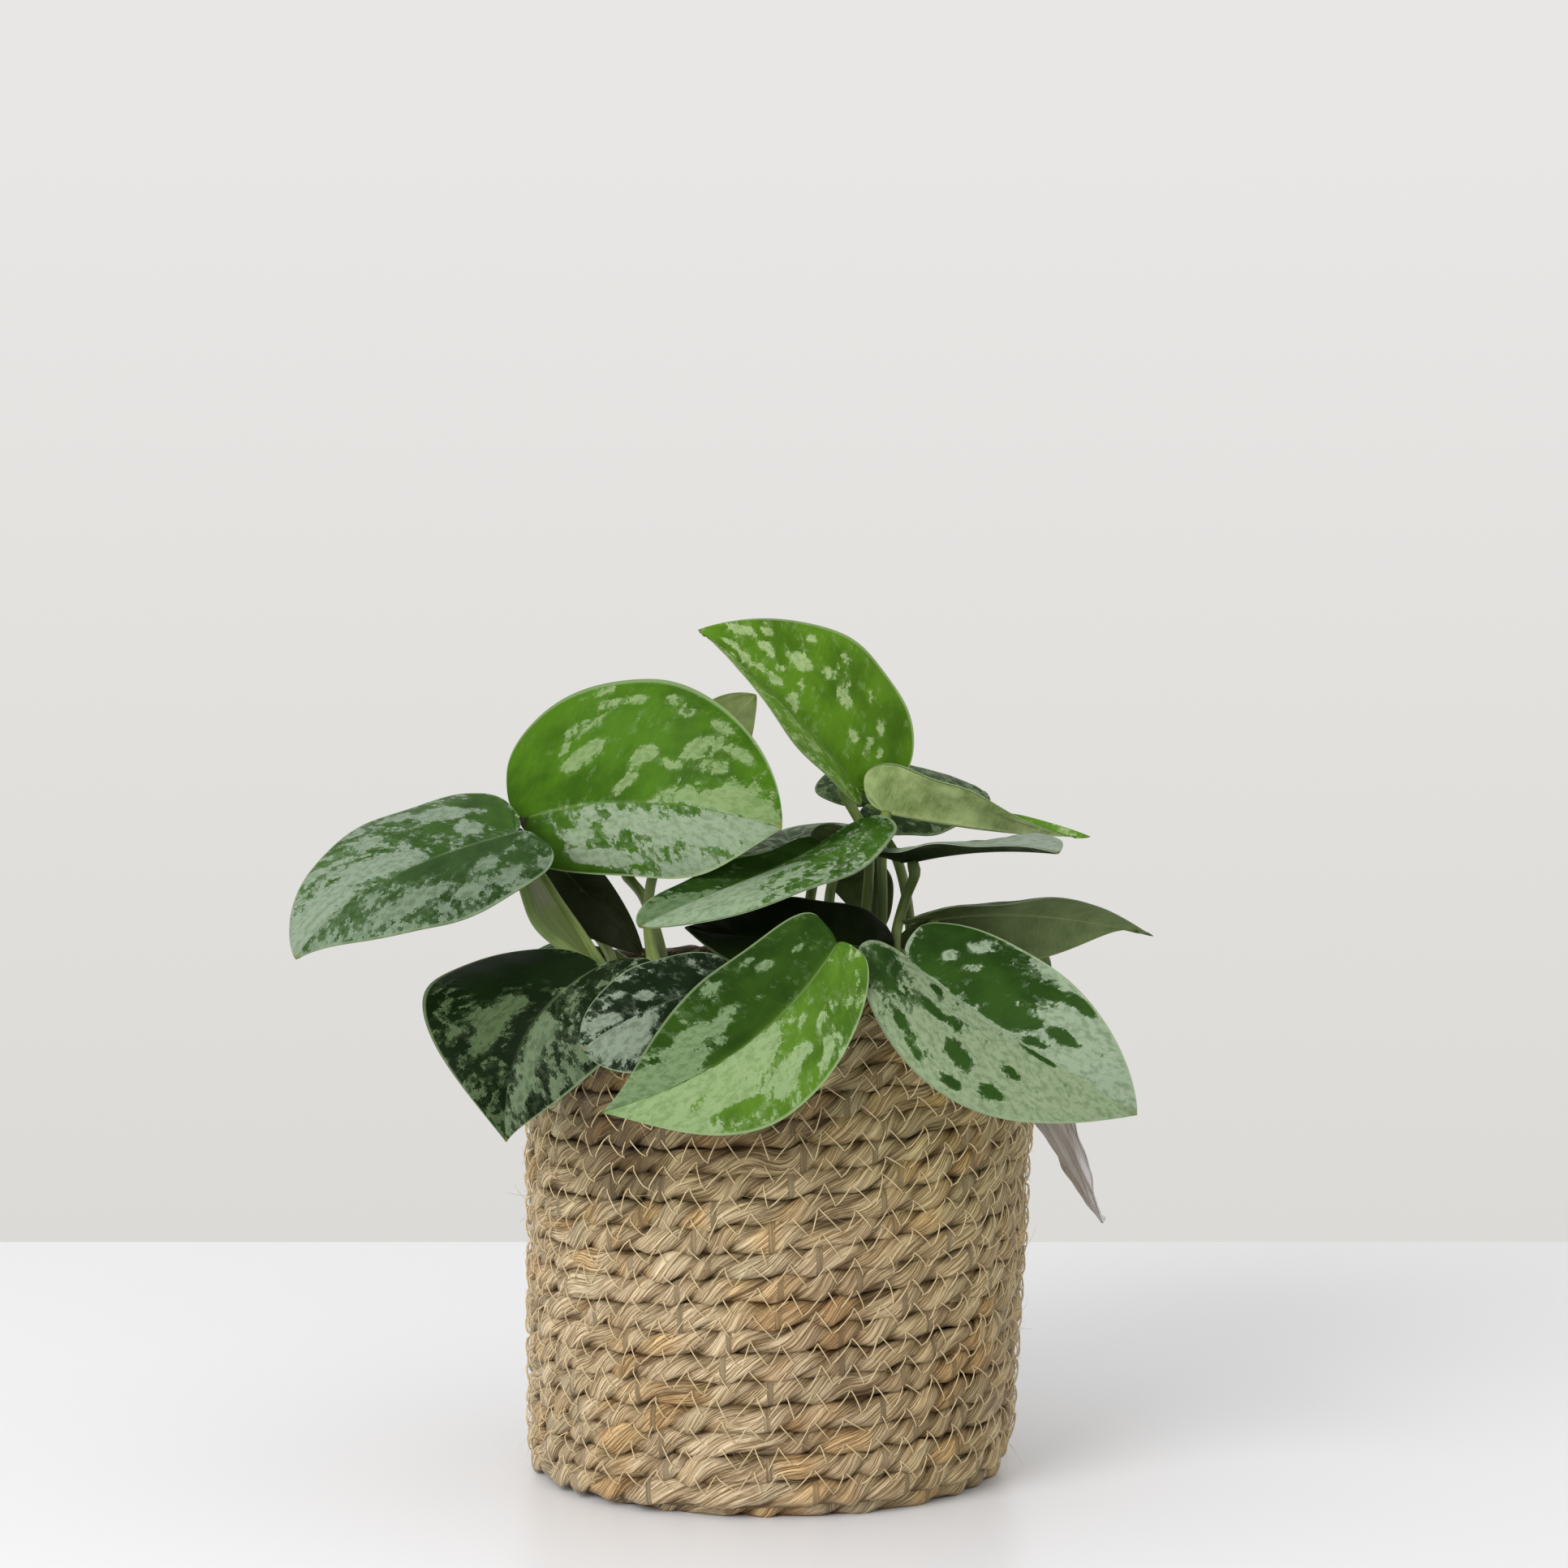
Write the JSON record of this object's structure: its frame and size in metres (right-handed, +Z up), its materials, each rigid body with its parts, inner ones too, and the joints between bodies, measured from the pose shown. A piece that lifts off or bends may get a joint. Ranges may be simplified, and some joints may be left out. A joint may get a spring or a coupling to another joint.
{
  "type": "potted satin pothos",
  "caption": "Trailing house plant with thick heart-shaped silver-blotched leaves, in a nursery pot inside a round coiled-rope basket.",
  "frame": {"origin": "centre of the basket's flat underside, on the surface that it stands on", "axes": "+Z up out of the basket, -Y towards the plant's best side, +X to the right seen from there"},
  "size_m": [0.2395, 0.2011, 0.2389],
  "materials": {
    "rope": "matte",
    "pot": "satin",
    "soil": "matte",
    "stem": "satin",
    "leaf": "satin",
    "withered_leaf": "matte"
  },
  "bodies": {
    "root": {"basket": "rope", "grow_pot": "pot", "soil": "soil", "stem_1_left": "stem", "stem_2_inner": "stem", "stem_3_front": "stem", "stem_4_tall": "stem", "stem_5_right": "stem", "stem_6_back": "stem", "leaf_01_far_left": "leaf", "leaf_02_round_upright": "leaf", "leaf_03_top": "leaf", "leaf_04_behind_round": "leaf", "leaf_05_middle": "leaf", "leaf_06_shaded": "leaf", "leaf_07_front": "leaf", "leaf_08_behind_front": "leaf", "leaf_09_low_left": "leaf", "leaf_10_low_right": "leaf", "leaf_11_right": "leaf", "leaf_12_young": "leaf", "leaf_13_behind_young": "leaf", "leaf_14_level": "leaf", "leaf_15_hanging": "leaf", "leaf_16_inner_left": "leaf", "leaf_17_back_left": "leaf", "leaf_18_back": "leaf", "leaf_19_back_right": "leaf", "leaf_20_back_low": "leaf", "leaf_21_back_low_left": "leaf", "leaf_22_withered": "withered_leaf"}
  },
  "joints": []
}
